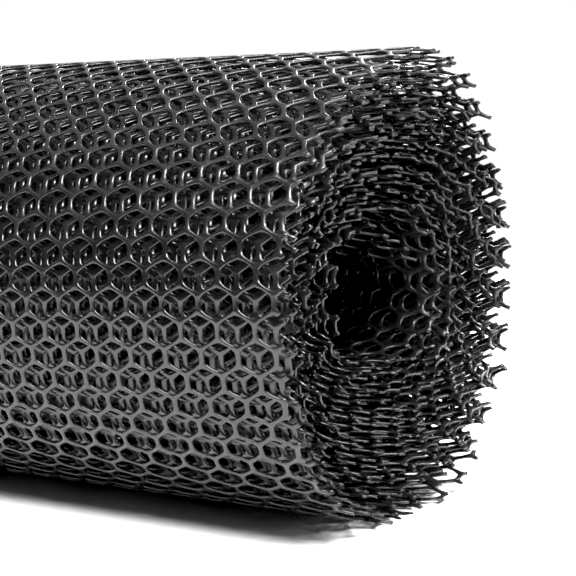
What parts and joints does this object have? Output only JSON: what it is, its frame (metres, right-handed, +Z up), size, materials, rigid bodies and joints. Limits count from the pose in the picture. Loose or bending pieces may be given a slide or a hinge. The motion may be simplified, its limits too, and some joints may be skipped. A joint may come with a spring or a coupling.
{
  "type": "roll of plastic poultry netting",
  "caption": "Strip of black hexagonal plastic net wound into a hollow roll that lies on its side, its cut ends showing as stubs and its inner end loose in the bore.",
  "frame": {"origin": "centre of the roll's box on the surface that the roll rests on", "axes": "+X along the roll's axis, towards the end whose inner turns are set back; +Z up; -Y is the side that the picture shows"},
  "size_m": [0.4184, 0.1984, 0.1872],
  "materials": {
    "netting": "black extruded polyethylene with a satin gloss and fine scuffs"
  },
  "bodies": {
    "root": {"netting_roll": "netting"}
  },
  "joints": []
}
